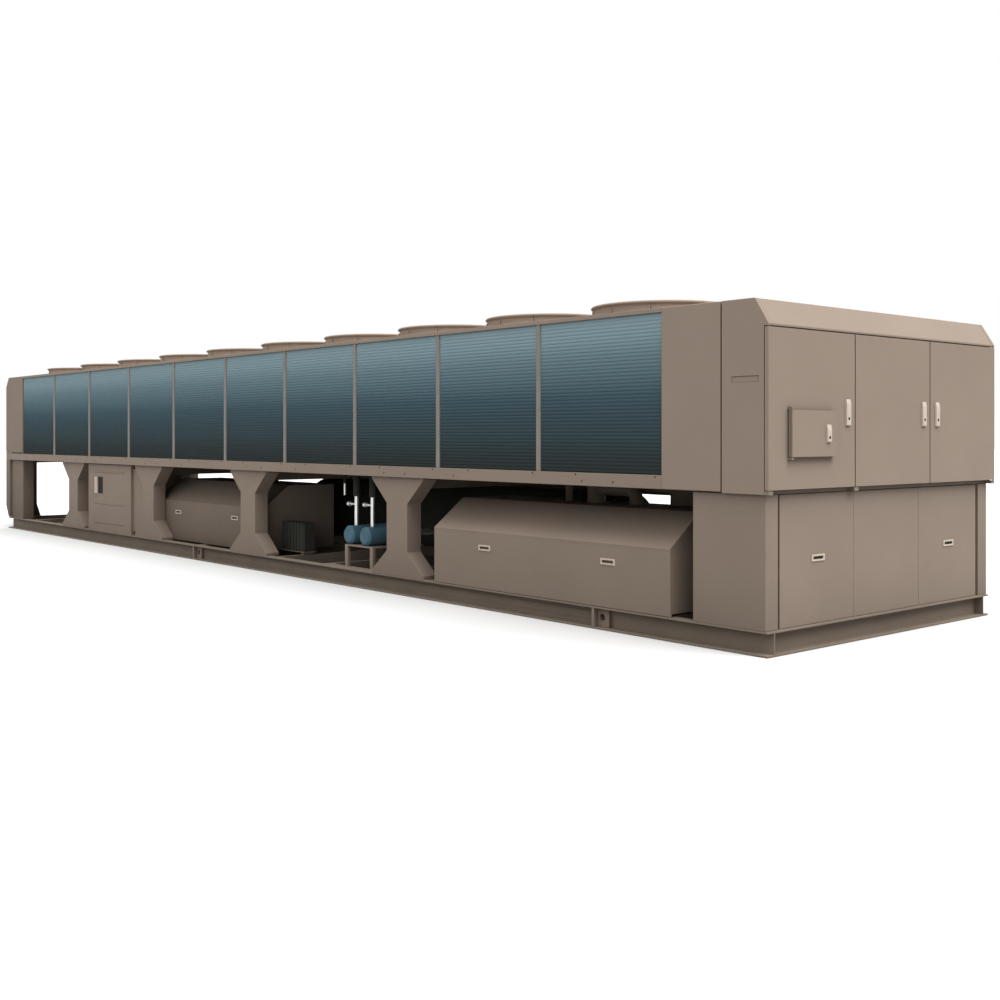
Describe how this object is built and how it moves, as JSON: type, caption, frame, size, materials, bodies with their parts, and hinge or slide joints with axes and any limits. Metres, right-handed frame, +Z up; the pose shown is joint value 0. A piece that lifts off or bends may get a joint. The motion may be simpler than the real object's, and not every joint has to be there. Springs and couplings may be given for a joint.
{
  "type": "air cooled water chiller",
  "caption": "Long air cooled water chiller on an open channel base, with hourglass legs, side condenser coils, roof fans in low shrouds and a control cabinet with hinged doors at one end.",
  "frame": {"origin": "on the ground at the middle of the base frame", "axes": "+X to the control cabinet end, the front long side faces -Y, +Z up"},
  "size_m": [12.112, 2.46, 2.03],
  "materials": {
    "paint": "satin",
    "frame_paint": "satin",
    "coil": "satin",
    "dark_metal": "satin",
    "silver": "satin",
    "insulation": "matte",
    "light_paint": "satin",
    "drier": "satin"
  },
  "bodies": {
    "chiller": {"base_rails": "frame_paint", "base_cross_members": "frame_paint", "lifting_lugs": "paint", "front_legs": "paint", "back_legs": "paint", "tail_posts": "paint", "cross_ties": "frame_paint", "lower_side_panels": "paint", "lower_end_panels": "paint", "lower_back_panel": "paint", "lower_rails": "paint", "top_rails": "paint", "coil_dividers": "paint", "front_coils": "coil", "back_coils": "coil", "plenum_floor": "frame_paint", "coil_end_panels": "paint", "tail_side_panels": "paint", "tail_end_cover": "paint", "fan_deck": "paint", "front_shrouds": "paint", "back_shrouds": "paint", "front_guards": "dark_metal", "back_guards": "dark_metal", "front_fans": "dark_metal", "back_fans": "dark_metal", "cabinet_sides": "paint", "cabinet_back": "paint", "cabinet_floor": "paint", "cabinet_jambs": "paint", "cabinet_hood": "paint", "door_pivots": "silver", "near_enclosure": "paint", "far_enclosure": "paint", "enclosure_pads": "insulation", "pull_handles": "light_paint", "junction_box": "paint", "evaporator": "insulation", "evaporator_saddles": "frame_paint", "water_pipes": "frame_paint", "filter_driers": "drier", "drier_stand": "paint", "liquid_pipes": "silver", "pipe_sleeves": "insulation", "suction_pipes": "insulation", "discharge_pipes": "frame_paint", "cable_ducts": "frame_paint"},
    "left_door": {"left_door": "paint", "left_door_handle": "light_paint"},
    "middle_door": {"middle_door": "paint", "middle_door_handle": "light_paint"},
    "right_door": {"right_door": "paint", "right_door_handle": "light_paint"},
    "access_cover": {"access_cover": "paint", "access_latch": "light_paint"}
  },
  "joints": [
    {"name": "left_door_hinge", "type": "hinge", "parent": "chiller", "child": "left_door", "pos_m": [6.041, -1.222, 1.345], "axis": [0, 0, -1], "range_deg": [0, 110]},
    {"name": "middle_door_hinge", "type": "hinge", "parent": "chiller", "child": "middle_door", "pos_m": [6.041, -0.39867, 1.345], "axis": [0, 0, -1], "range_deg": [0, 110]},
    {"name": "right_door_hinge", "type": "hinge", "parent": "chiller", "child": "right_door", "pos_m": [6.041, 1.222, 1.345], "axis": [0, 0, 1], "range_deg": [0, 110]},
    {"name": "access_cover_hinge", "type": "hinge", "parent": "left_door", "child": "access_cover", "pos_m": [6.075, -1.055, 1.2115], "axis": [0, 0, -1], "range_deg": [0, 100]}
  ]
}
